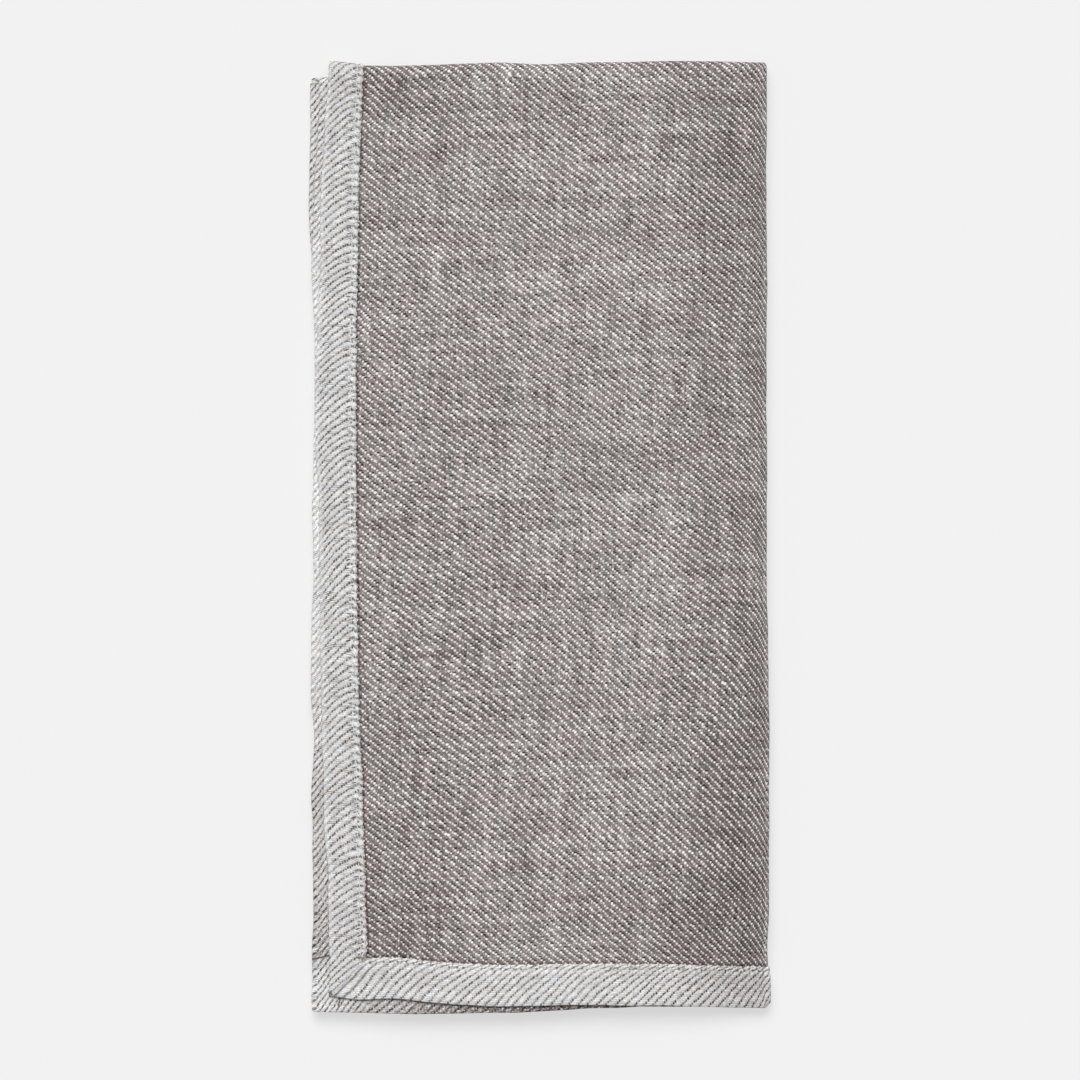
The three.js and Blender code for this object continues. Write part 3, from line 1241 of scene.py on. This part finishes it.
class Weave:
    """What a cloth's shader knows of a place: where it lies on the cloth and
    beside a hem, in millimetres, and on which warp end and which pick."""

    def __init__(self, tree):
        self.tree = tree
        self.across, self.along = uv_terms(tree, "cloth")
        self.edge, self.beside = uv_terms(tree, "hem")
        # The broad painted light and shade of the cloth
        self.tone = attribute_term(tree, "tone")
        self.count_yarns()
        self.spin_yarns()
        start = self.along.ramp(14.0, 22.0)
        self.clear_of_ends = start * self.along.ramp(CLOTH_LENGTH - 14.0, CLOTH_LENGTH - 22.0)

    def noise(self, across, along, seed, detail=2.0, roughness=0.5):
        """Soft noise over the cloth, with so many lumps in a millimetre."""
        first = self.across * across
        second = self.along * along
        return soft_noise(self.tree, first, second, seed, detail, roughness)

    def count_yarns(self):
        """Counts warp ends and picks, with the slight wander of soft cloth."""
        self.ends = self.across / END_PITCH + self.noise(0.06, 0.045, 1.0) * 0.6
        self.picks = self.along / PICK_PITCH + self.noise(0.045, 0.06, 2.0) * 0.6
        self.ends = self.ends + self.noise(0.30, 0.23, 3.0) * 0.5
        self.picks = self.picks + self.noise(0.23, 0.30, 4.0) * 0.5
        self.end = self.ends.floor()
        self.pick = self.picks.floor()
        self.from_end = self.ends - self.end - 0.5
        self.from_pick = self.picks - self.pick - 0.5

    def spin_yarns(self):
        """Uneven spinning: each end and each pick has its own thick and thin,
        light and dark lengths, and the whole cloth is a little cloudy."""
        lengths = {"detail": 3.0, "roughness": 0.6}
        along_end = self.along * 0.042
        along_pick = self.across * 0.035
        self.end_tone = soft_noise(self.tree, self.end * 5.17, along_end, 11.0, **lengths)
        self.pick_tone = soft_noise(self.tree, along_pick, self.pick * 5.17, 12.0, **lengths)
        bars = soft_noise(self.tree, self.ends * 0.12, self.along * 0.02, 14.0)
        bands = soft_noise(self.tree, self.across * 0.02, self.picks * 0.16, 15.0)
        self.cloud = self.noise(0.07, 0.06, 13.0, **lengths) * 0.4 + bars * 0.5 + bands * 0.7


def finish_cloth(tree, shader, colour, height, distance):
    """Gives a shader its colour, its bump and the dry surface of cotton."""
    tree.links.new(colour, shader.inputs["Base Color"])
    bump = tree.nodes.new("ShaderNodeBump")
    bump.inputs["Strength"].default_value = 1.0
    bump.inputs["Distance"].default_value = distance
    tree.links.new(height.socket, bump.inputs["Height"])
    tree.links.new(bump.outputs["Normal"], shader.inputs["Normal"])
    shader.inputs["Roughness"].default_value = 0.92
    shader.inputs["Specular IOR Level"].default_value = 0.18
    shader.inputs["Sheen Weight"].default_value = 0.06
    shader.inputs["Sheen Roughness"].default_value = 0.6


def lip_gaps(weave):
    """The stitches draw a hem's inner edge into fat beads: this is 0 on a bead
    and 1 between two."""
    wander = soft_noise(weave.tree, weave.beside * 0.3, 0.0, 41.0, detail=1.0) * 1.3
    place = weave.beside / STITCH_PITCH + wander + weave.edge * 0.14
    return ((place.fract() - 0.5) * 2.0).squared()


# ------------------------------------------------------------------- the face

# One thick dark pick shows across the face panel: its count, and from where to
# where it comes in and goes out
SLUB_PICK = 143.4
SLUB_START = (80.0, 95.0)
SLUB_STOP = (155.0, 140.0)


def weft_dots(weave, swell):
    """The pale weft where it crosses over a sunk end, looked up in the pick at
    hand and its neighbours: how pale it makes the cloth, and how deep the pit
    is that the rising end leaves just past it, which is painted with shade."""
    slant = weave.noise(0.03, 0.03, 23.0) * 0.5 + 0.15
    pales = []
    pits = []
    for step in (-1, 0, 1):
        pick = weave.pick + step
        from_pick = weave.picks - pick - 0.5
        from_dot = (weave.ends + pick + 1.5).wrap(REPEAT) - REPEAT / 2
        dot_end = (weave.ends - from_dot).floor()
        first, second, third = chances_of(weave.tree, dot_end, pick, 21.0)
        wander = soft_noise(weave.tree, weave.across * 0.09, pick * 7.7, 27.0, detail=0.0) * 0.4
        aside = from_dot - (first - 0.5) * 0.4
        above = from_pick - (second - 0.5) * 0.3 - wander
        spread = (third * 0.3 + 0.91) * swell
        away = (aside / spread * 2.1).squared() + ((above - slant * aside) / spread * 1.9).squared()
        pales.append(away.ramp(1.7, 0.2) * (first * 0.2 + 0.84))
        hollow = ((aside - 0.15) * 1.7).squared() + ((above - 1.15) * 1.7).squared()
        pits.append(hollow.ramp(1.6, 0.1) * second.squared() * 1.8)
    pale = pales[0].at_least(pales[1]).at_least(pales[2])
    pit = pits[0].at_least(pits[1]).at_least(pits[2])
    return pale, pit


def wale_link(weave):
    """Here and there a pale line joins the dots along their twill line."""
    from_wale = (weave.ends + weave.picks + 1.0).wrap(REPEAT) - REPEAT / 2
    linked = weave.noise(1.1, 1.1, 26.0) * 0.8 + 0.10
    return from_wale.squared().ramp(0.75, 0.0) * linked


def face_warp(weave, chances, fibre, drawn):
    """The dark warp: round ends with painted shade along their sides and colours of
    their own, under the broad painted light and shade of the cloth, and the thick pick that presses
    them down."""
    yarn = weave.from_end.wave() * 0.05 + 0.95
    yarn = yarn * (chances[0] * 0.62 + 0.69) * (fibre * 2.2 + 1.0)
    yarn = yarn * (weave.end_tone * 0.75 + weave.cloud * 0.40 + weave.pick_tone * 0.60 + 1.0)
    slub = (weave.picks - SLUB_PICK).squared().ramp(0.7, 0.1)
    slub = slub * weave.across.ramp(*SLUB_START) * weave.across.ramp(*SLUB_STOP)
    yarn = yarn.varied(slub, -0.35) * weave.tone
    hue = weave.cloud * 0.8 + chances[1] * 0.7 + 0.1
    colour = colour_mix(weave.tree, hue, WARP_WARM, WARP_GREY)
    return colour_scale(weave.tree, colour, yarn.varied(drawn, -0.05))


def face_weft(weave, chances, fibre, pale):
    """The pale weft, as bright where the cloth is painted darker as where it is painted lighter."""
    spun = weave.pick_tone * 0.3 + weave.end_tone * 0.25 + weave.cloud * 0.2
    brightness = (fibre * 0.3 + chances[2] * 0.14 + spun + 0.89) * weave.tone.power(-0.4)
    return colour_scale(weave.tree, colour_mix(weave.tree, pale, WEFT_SHADE, WEFT_PALE), brightness)


def hem_foot(weave, colour):
    """Beside a hem the face lies in a crease with painted shade in it, and the
    pale tufts of the hem's lip reach over it."""
    ragged = weave.noise(0.9, 0.9, 28.0)
    crease_shade = weave.edge.ramp(-1.6, -0.5) * (ragged * 0.9 + 0.7).ramp(0.0, 1.0)
    crease_shade = crease_shade * (weave.clear_of_ends * 0.6 + 0.4)
    colour = with_painted_shading(weave.tree, colour, weave.tone.varied(crease_shade, -0.76))
    reach = lip_gaps(weave).rest() * 0.7 + ragged * 0.9 - 0.35
    tuft = (weave.edge + reach).ramp(0.0, 0.25) * (weave.clear_of_ends * 0.4 + 0.6)
    return colour_mix(weave.tree, tuft, colour, REVERSE_COOL)


def face_material():
    """The dark face: warp ends that float over three picks, with the pale weft
    showing as a dot where each end dips under the fourth."""
    material, tree, shader = new_material("twill_face")
    weave = Weave(tree)
    fibre = weave.noise(2.5, 3.2, 25.0, detail=1.0, roughness=0.9)
    drawn = weave.across.ramp(118.0, 150.0) * weave.along.ramp(60.0, 140.0)
    swell = (weave.pick_tone * 0.5 + weave.end_tone * 0.4 + 1.0).varied(drawn, -0.03)
    dots, pit = weft_dots(weave, swell)
    pale = dots.at_least(wale_link(weave))

    chances = chances_of(tree, weave.end, weave.pick, 24.0)
    crowding = weave.noise(0.25, 0.25, 29.0) * 1.4 + 0.9
    warp = face_warp(weave, chances, fibre, drawn)
    # Painted shade in the pits beside the pale dots
    warp = colour_mix(tree, (pit * crowding).at_most(1.0), warp, PIT_SHADE)
    colour = colour_mix(tree, pale, warp, face_weft(weave, chances, fibre, pale))

    height = weave.from_end.wave() * 0.25 + dots * 0.8 - pit * 0.5 + fibre * 0.5
    finish_cloth(tree, shader, hem_foot(weave, colour), height, FACE_RELIEF)
    return material


# ---------------------------------------------------------------- the reverse

# Painted shade of two short creases on the strip beside the face panel: a point on
# each, how steeply it rises across the strip, and how dark its painted shade is
CREASE_SHADES = [
    {"x": -84.4, "y": -156.6, "rise": 0.23, "dark": 1.0},
    {"x": -84.4, "y": -156.5, "rise": 0.9, "dark": 0.7},
]


def reverse_dots(weave, look):
    """The dark warp where it crosses over a sunk pick: how much of it shows."""
    from_dot = (weave.picks + weave.end + 1.5).wrap(REPEAT) - REPEAT / 2
    dot_pick = (weave.picks - from_dot).floor()
    first, second, third = chances_of(weave.tree, weave.end, dot_pick, 31.0)
    aside = weave.from_end - (first - 0.5) * 0.3 - from_dot * -0.25
    above = from_dot - (second - 0.5) * 0.5
    half_width = second * 0.14 + 0.34 + look["rough"] * 0.03
    half_height = third * 0.25 + 0.52 + look["rough"] * 0.06
    away = (aside / half_width).squared() + (above / half_height).squared()
    showing = ((third * 0.5 + 0.5) * look["showing"]).at_most(1.0)
    return away.ramp(1.5, 0.25) * showing


def reverse_weft(weave, look, fibre, chances):
    """The pale weft: how bright it is where it floats in ribs, with painted shade over each pick's
    rounding and in the ribs' furrows.
    """
    yarn = weave.from_pick.wave() * 0.09 + 0.93
    yarn = yarn * look["ribs"] * (chances[0] * 0.16 + 0.93) * (fibre * look["grain"] + 1.0)
    yarn = yarn * (chances_of(weave.tree, weave.end, weave.pick, 39.0)[0] * 0.2 + 0.9)
    streaks = weave.pick_tone * look["streak"] + weave.cloud * 0.12 + weave.end_tone * 0.12
    yarn = yarn * (streaks + 1.0) * look["light"]
    colour = colour_mix(weave.tree, weave.cloud * 0.15 + chances[1], REVERSE_WARM, REVERSE_COOL)
    return colour_scale(weave.tree, colour, yarn)


def parted_picks(weave):
    """Here and there two picks have parted."""
    parted = soft_noise(weave.tree, weave.across * 0.13, weave.pick * 3.71, 37.0, detail=1.0)
    between = weave.from_pick.wave().ramp(0.0, -1.0)
    return parted.ramp(0.20, 0.34) * between * (weave.clear_of_ends * 0.55 + 0.25)


def stitch_gaps(weave):
    """The stitches pull the cloth into little gaps, and the hem's inner edge is
    ragged with short dark hooks."""
    place = weave.beside / STITCH_PITCH
    from_stitch = place.fract() - 0.5
    pull, reach, lean = chances_of(weave.tree, place.floor(), 7.0, 36.0)
    inwards = weave.edge - 1.9 - reach * 1.9
    crossing = (from_stitch - (lean - 0.5) * 0.6) * STITCH_PITCH + (pull - 0.3) * 0.7 * inwards
    gap = (crossing * 2.9).squared() + (inwards * 0.8).squared()
    inside = weave.along.ramp(-2.0, 2.0) * weave.along.ramp(CLOTH_LENGTH + 2.0, CLOTH_LENGTH - 2.0)
    gap = gap.ramp(1.1, 0.2) * (pull * 0.5 + 0.5) * (inside * 0.7 + 0.3)
    between = lip_gaps(weave).ramp(0.50, 0.95)
    hooks = between * weave.edge.ramp(2.3, 1.1) * (reach * 0.75 + 0.05)
    hole = ((from_stitch + pull * 0.6 - 0.3) * 5.2).squared()
    hole = hole + ((weave.edge - 0.8 - lean * 0.9) * 1.9).squared()
    hole = hole.ramp(1.1, 0.3) * lean.ramp(0.35, 0.65) * 0.75
    return gap.at_least(hooks).at_least(hole)


def mitre_gaps(mitre, edge):
    """The seam across a mitred corner, pinched together at both its ends, with
    a dark pucker that runs out over the side hem from its inner one."""
    seam = mitre.squared().ramp(0.25, 0.0) * 0.25
    inner = ((mitre + 1.2) * 0.5).squared() + ((edge - 0.5) * 1.6).squared()
    tip = ((mitre + 0.3) * 0.9).squared() + ((edge - 13.2) * 1.2).squared()
    pucker = ((mitre + edge * 1.1) * 1.6).squared() + ((edge - 2.0) * 0.6).squared()
    ends = (inner.ramp(1.4, 0.3) * 0.6).at_least(tip.ramp(1.5, 0.4) * 0.8)
    return seam.at_least(ends).at_least(pucker.ramp(1.3, 0.4) * 0.8)


def strip_crease_shades(tree):
    """The painted shade in the creases of the strip that shows beside the face
    panel, low down where the layers under it are pinched."""
    x, y, z = [part / MM for part in split_terms(tree, object_socket(tree))]
    lines = []
    for crease_shade in CREASE_SHADES:
        away = y - crease_shade["y"] - (x - crease_shade["x"]) * crease_shade["rise"]
        lines.append(away.squared().ramp(0.28, 0.04) * crease_shade["dark"])
    return lines[0].at_least(lines[1]) * x.ramp(-77.0, -78.5) * z.ramp(4.0, 6.0) * 0.85


def panel_shadow(weave):
    """Painted shadow: the ragged dark line right under the face panel's end."""
    below = attribute_term(weave.tree, "below")
    uneven = weave.noise(0.30, 0.30, 42.0) * 2.2 + 0.55
    return below.ramp(1.0, 0.1) * below.ramp(-2.5, -1.0) * uneven.ramp(0.0, 1.0) * 0.85


# A look of the reverse says how strongly the dark warp shows and how rough its
# dots are, how the painted shade of its ribs, its grain and its streaks vary the
# pale weft, how light that is, and which furrows, gaps and painted shadows are dark.


def turned_look(weave, furrow):
    """What sets the turned hems apart: their stitches and mitres show, and
    their outer edge is smooth."""
    mitre = attribute_term(weave.tree, "mitre")
    smooth = mitre.ramp(0.3, 1.5) * mitre.ramp(9.0, 5.0) * weave.edge.ramp(1.5, 3.5)
    outer = weave.edge.ramp(11.8, 12.7) * weave.clear_of_ends
    frayed = weave.noise(0.5, 0.5, 43.0) * 2.5 + 0.6
    loose = weave.edge.ramp(4.6, 2.6) * frayed.ramp(0.0, 1.0)
    showing = mitre.squared().ramp(2.0, 0.3, 1.0, 0.75).varied(loose, -0.35)
    showing = showing.varied(outer, -0.7).varied(smooth, -0.3)
    showing = showing * (weave.clear_of_ends * 0.06 + 0.94)
    return {
        "showing": showing.varied(weave.across.ramp(100.0, 150.0), 0.3),
        "rough": 0.0,
        "ribs": furrow * -0.12 + 0.91,
        "grain": 0.7,
        "streak": weave.clear_of_ends * 0.15 + 0.10,
        "light": weave.edge.ramp(3.6, 1.6, 1.0, 1.16).varied(outer, 0.08),
        "furrows": furrow.ramp(0.4, 0.95) * smooth * 0.65,
        "gaps_and_shade": stitch_gaps(weave).at_least(mitre_gaps(mitre, weave.edge)),
    }


def plain_look(weave, furrow):
    """How the reverse looks away from the hems: smoother along the middle of the
    strip that shows, and rougher towards its ends, with painted shade in the
    strip's creases and a painted shadow under the face panel's end."""
    smooth = weave.along.ramp(95.0, 140.0) * weave.along.ramp(330.0, 270.0)
    rough = smooth.rest()
    return {
        "showing": smooth * -0.5 + 1.0,
        "rough": rough,
        "ribs": furrow * -0.10 + 0.92,
        "grain": 0.9,
        "streak": 0.25,
        "light": (smooth * 0.12 + 1.0).varied(rough * furrow, -0.05),
        "furrows": 0.0,
        "gaps_and_shade": strip_crease_shades(weave.tree).at_least(panel_shadow(weave)),
    }


def reverse_material(name, look_of):
    """The pale reverse: the weft floats over three ends in fat slanting ribs,
    with the dark warp showing in the furrows."""
    material, tree, shader = new_material(name)
    weave = Weave(tree)
    furrow = ((weave.ends + weave.picks - 1.0) / REPEAT).wave()
    look = look_of(weave, furrow)
    dot = reverse_dots(weave, look).at_least(look["furrows"])
    length = ((weave.ends + weave.pick - 0.5) / REPEAT).floor()
    chances = chances_of(tree, weave.pick, length, 34.0)
    across = weave.across * 1.9
    along = weave.along * 2.5 + chances[0] * 40.0
    fibre = soft_noise(tree, across, along, 35.0, detail=1.0, roughness=0.9)
    # Gaps here include the painted shadow under the face panel's end and the painted shade of the
    # strip's creases
    gap = parted_picks(weave).at_least(look["gaps_and_shade"])

    colour = reverse_weft(weave, look, fibre, chances)
    colour = colour_mix(tree, dot, colour, WARP_ON_REVERSE)
    colour = colour_mix(tree, gap, colour, WARP_ON_REVERSE)
    lumps = weave.noise(1.1, 1.5, 40.0) * 3.6 + 1.0
    colour = with_painted_shading(tree, colour, weave.tone.power(lumps))

    ribs = furrow * -0.35 + weave.from_pick.wave() * 0.16
    height = ribs - dot * 0.6 - gap * 0.6 + fibre * 0.4
    finish_cloth(tree, shader, colour, height, REVERSE_RELIEF)
    return material


def thread_material():
    """Pale spun sewing thread."""
    material, tree, shader = new_material("sewing_thread")
    twist = tree.nodes.new("ShaderNodeTexNoise")
    twist.inputs["Scale"].default_value = 2600.0
    tree.links.new(object_socket(tree), twist.inputs["Vector"])
    share = Term(tree, twist.outputs["Fac"]).ramp(0.3, 0.7)
    colour = colour_mix(tree, share, THREAD_DARK, THREAD_PALE)
    finish_cloth(tree, shader, colour, share, THREAD_RELIEF)
    return material


# --------------------------------------------------------------------- studio

# The table: its colour, how much of what is seen of it is its own glow, and how
# far it reaches each way, in metres
TABLE = srgb(242, 242, 242)
TABLE_GLOW = 0.66
TABLE_REACH = 4.0

# The window light: how high it stands over the table, how far round from the
# towel's top it comes, how soft it is, and the share of light that the room gives
LIGHT_HEIGHT = math.radians(58)
LIGHT_TURN = math.radians(8)
LIGHT_SPREAD = math.radians(36)
FILL = 0.32

# The camera, in metres: its height, how wide the picture is at the top of the
# towel, where it looks beside the middle of the towel, and its sensor (in
# millimetres)
CAMERA_HEIGHT = 3.0
FRAMED = 0.4013
AIM = (0.0002, -0.0006)
SENSOR = 36


def seen_ray(tree):
    """Is 1 for rays that look, and 0 for the ones that carry light."""
    rays = tree.nodes.new("ShaderNodeLightPath")
    names = ("Is Camera Ray", "Is Glossy Ray", "Is Transmission Ray")
    camera, glossy, transmission = [Term(tree, rays.outputs[name]) for name in names]
    return camera.at_least(glossy).at_least(transmission)


def shader_choice(tree, share, first, second, output):
    """Mixes two shaders into an output."""
    choice = tree.nodes.new("ShaderNodeMixShader")
    for slot, value in enumerate((share, first.outputs[0], second.outputs[0])):
        plug(tree, choice.inputs[slot], value)
    tree.links.new(choice.outputs[0], tree.nodes[output].inputs[0])


def table_material():
    """A plain pale table that keeps a soft shadow."""
    material, tree, shader = new_material("pale_table")
    shader.inputs["Base Color"].default_value = (*TABLE, 1)
    shader.inputs["Roughness"].default_value = 1.0
    shader.inputs["Specular IOR Level"].default_value = 0.0
    glow = tree.nodes.new("ShaderNodeEmission")
    glow.inputs["Color"].default_value = (*TABLE, 1)
    shader_choice(tree, seen_ray(tree) * TABLE_GLOW, shader, glow, "Material Output")
    return material


def build_table():
    """The table under the towel, which isn't part of it."""
    slab = bmesh.new()
    bmesh.ops.create_grid(slab, x_segments=1, y_segments=1, size=TABLE_REACH)
    new_piece("table_top", slab, (table_material(),))


def build_window():
    """Soft light from a window beyond the towel's top."""
    sun = bpy.data.lights.new("window_light", "SUN")
    sun.angle = LIGHT_SPREAD
    sun.energy = (1 - FILL) * math.pi / math.sin(LIGHT_HEIGHT)
    lamp = bpy.data.objects.new("window_light", sun)
    towards = Vector((
        -math.sin(LIGHT_TURN) * math.cos(LIGHT_HEIGHT),
        math.cos(LIGHT_TURN) * math.cos(LIGHT_HEIGHT),
        math.sin(LIGHT_HEIGHT),
    ))
    lamp.rotation_euler = towards.to_track_quat("Z", "Y").to_euler()
    bpy.context.scene.collection.objects.link(lamp)


def build_room():
    """An even white room, seen as the table's own colour."""
    world = bpy.data.worlds.new("studio")
    world.use_nodes = True
    bpy.context.scene.world = world
    tree = world.node_tree
    room = tree.nodes["Background"]
    room.inputs["Color"].default_value = (1, 1, 1, 1)
    room.inputs["Strength"].default_value = FILL
    backdrop = tree.nodes.new("ShaderNodeBackground")
    backdrop.inputs["Color"].default_value = (*TABLE, 1)
    shader_choice(tree, seen_ray(tree), room, backdrop, "World Output")


def build_camera():
    """The camera looks straight down."""
    low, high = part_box("towel")
    camera = bpy.data.cameras.new("above")
    camera.sensor_width = SENSOR
    camera.lens = SENSOR * (CAMERA_HEIGHT - high[2]) / FRAMED
    camera.clip_end = 20
    viewer = bpy.data.objects.new("above", camera)
    middle = [(low[axis] + high[axis]) / 2 + AIM[axis] for axis in range(2)]
    viewer.location = (*middle, CAMERA_HEIGHT)
    bpy.context.scene.collection.objects.link(viewer)
    bpy.context.scene.camera = viewer


def main():
    bpy.context.scene.view_settings.view_transform = "Standard"
    build_camera()
    build_table()
    build_window()
    build_room()
    turned = reverse_material("twill_turned", turned_look)
    reverse = reverse_material("twill_reverse", plain_look)
    cloth, home = build_cloth(face_material(), turned, reverse)
    stitches = build_stitches(home, thread_material())
    for piece in (cloth, stitches):
        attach(piece, "root")
    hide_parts("towel")


main()
